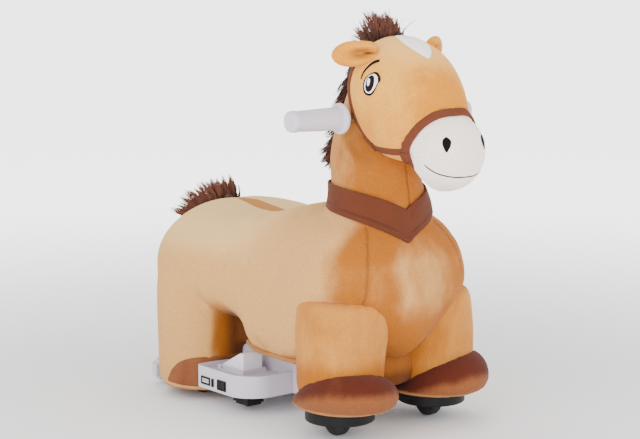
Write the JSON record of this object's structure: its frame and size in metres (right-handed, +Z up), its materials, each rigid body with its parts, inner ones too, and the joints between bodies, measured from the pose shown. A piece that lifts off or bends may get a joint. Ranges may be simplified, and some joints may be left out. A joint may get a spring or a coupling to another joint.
{
  "type": "ride-on plush horse",
  "caption": "Battery-driven plush ride-on horse with handlebar grips in the neck, foot trays with a pedal, driven rear wheels and swivelling front casters under the hooves.",
  "frame": {"origin": "on the floor, midway between the front-most and rear-most points and on the horse's middle plane", "axes": "+X forward along the horse, +Y to the horse's left, +Z up"},
  "size_m": [0.6427, 0.324, 0.5645],
  "materials": {
    "base_plastic": "satin moulded white-grey",
    "black_rubber": "matt",
    "battery_case": "matt",
    "motor_can": "plated can",
    "bracket_steel": "grey coat",
    "gear_nylon": "natural nylon",
    "pinion_brass": "turned",
    "steel": "drawn",
    "black_plastic": "fine texture",
    "gauge_face": "printed panel",
    "wheel_plastic": "worn matt",
    "frame_plastic": "moulded",
    "grip_plastic": "soft matt",
    "beige_plush": "short-pile plush",
    "tan_plush": "short-pile plush",
    "face_plush": "short-pile plush",
    "white_plush": "short-pile plush",
    "hoof_plush": "short-pile plush",
    "strap_cloth": "felted cloth",
    "hair": "loose fibre"
  },
  "bodies": {
    "chassis": {"base_shell": "base_plastic", "bottom_cover": "base_plastic", "rear_bumper": "base_plastic", "left_tray": "base_plastic", "right_tray": "base_plastic", "skid_feet": "black_rubber", "battery": "battery_case", "gear_motor": "motor_can", "gear_bracket": "bracket_steel", "idler_shaft": "steel", "pedal_switch": "black_plastic", "switch_housing": "black_plastic", "gauge_bezel": "black_plastic", "gauge_window": "gauge_face", "charge_socket": "black_plastic", "pedal_pin": "steel", "pedal_spring": "steel", "axle_bushes": "gear_nylon", "left_caster_plate": "black_plastic", "right_caster_plate": "black_plastic", "seat_frame": "frame_plastic", "front_yoke": "frame_plastic", "neck_post": "frame_plastic", "handlebar": "steel", "left_grip": "grip_plastic", "right_grip": "grip_plastic", "body": "beige_plush", "neck": "tan_plush", "head": "face_plush", "muzzle": "white_plush", "left_front_leg": "tan_plush", "right_front_leg": "tan_plush", "left_front_hoof": "hoof_plush", "right_front_hoof": "hoof_plush", "left_rear_leg": "beige_plush", "right_rear_leg": "beige_plush", "left_ear": "tan_plush", "right_ear": "tan_plush", "neck_collar": "strap_cloth", "noseband": "strap_cloth", "left_cheek_strap": "strap_cloth", "right_cheek_strap": "strap_cloth", "mane": "hair", "tail": "hair", "base_screws": "steel"},
    "rear_drive": {"rear_axle": "steel", "axle_gear": "gear_nylon", "left_rear_wheel": "wheel_plastic", "right_rear_wheel": "wheel_plastic"},
    "idler": {"idler_gear": "gear_nylon"},
    "pinion": {"motor_pinion": "pinion_brass"},
    "pedal": {"foot_pedal": "base_plastic"},
    "rocker": {"switch_rocker": "black_plastic"},
    "left_caster": {"left_turntable": "black_plastic", "left_wheel_pin": "steel"},
    "right_caster": {"right_turntable": "black_plastic", "right_wheel_pin": "steel"},
    "left_roller": {"left_front_wheel": "wheel_plastic"},
    "right_roller": {"right_front_wheel": "wheel_plastic"}
  },
  "joints": [
    {"name": "rear_axle_spin", "type": "hinge", "parent": "chassis", "child": "rear_drive", "pos_m": [-0.16, 0, 0.035], "axis": [0, 1, 0], "continuous": true},
    {"name": "idler_spin", "type": "hinge", "parent": "chassis", "child": "idler", "pos_m": [-0.139, 0, 0.035], "axis": [0, 1, 0], "continuous": true},
    {"name": "pinion_spin", "type": "hinge", "parent": "chassis", "child": "pinion", "pos_m": [-0.1214, 0, 0.035], "axis": [0, 1, 0], "continuous": true},
    {"name": "pedal_press", "type": "hinge", "parent": "chassis", "child": "pedal", "pos_m": [-0.072, -0.0952, 0.0575], "axis": [0, 1, 0], "range_deg": [0, 6], "stiffness_Nm_per_rad": 1.5, "springref_deg": -11.46, "deforming": ["pedal_spring"]},
    {"name": "rocker_tilt", "type": "hinge", "parent": "chassis", "child": "rocker", "pos_m": [-0.033, -0.141, 0.042], "axis": [0, 0, 1], "range_deg": [-8, 8]},
    {"name": "left_caster_swivel", "type": "hinge", "parent": "chassis", "child": "left_caster", "pos_m": [0.16, 0.085, 0.022], "axis": [0, 0, 1], "continuous": true},
    {"name": "left_wheel_roll", "type": "hinge", "parent": "left_caster", "child": "left_roller", "pos_m": [0.154, 0.085, 0.022], "axis": [0, 1, 0], "continuous": true},
    {"name": "right_caster_swivel", "type": "hinge", "parent": "chassis", "child": "right_caster", "pos_m": [0.16, -0.085, 0.022], "axis": [0, 0, 1], "continuous": true},
    {"name": "right_wheel_roll", "type": "hinge", "parent": "right_caster", "child": "right_roller", "pos_m": [0.154, -0.085, 0.022], "axis": [0, 1, 0], "continuous": true}
  ],
  "couplings": [
    {"joint": "idler_spin", "follows": "rear_axle_spin", "ratio": -2.5},
    {"joint": "pinion_spin", "follows": "rear_axle_spin", "ratio": 6.6667}
  ]
}
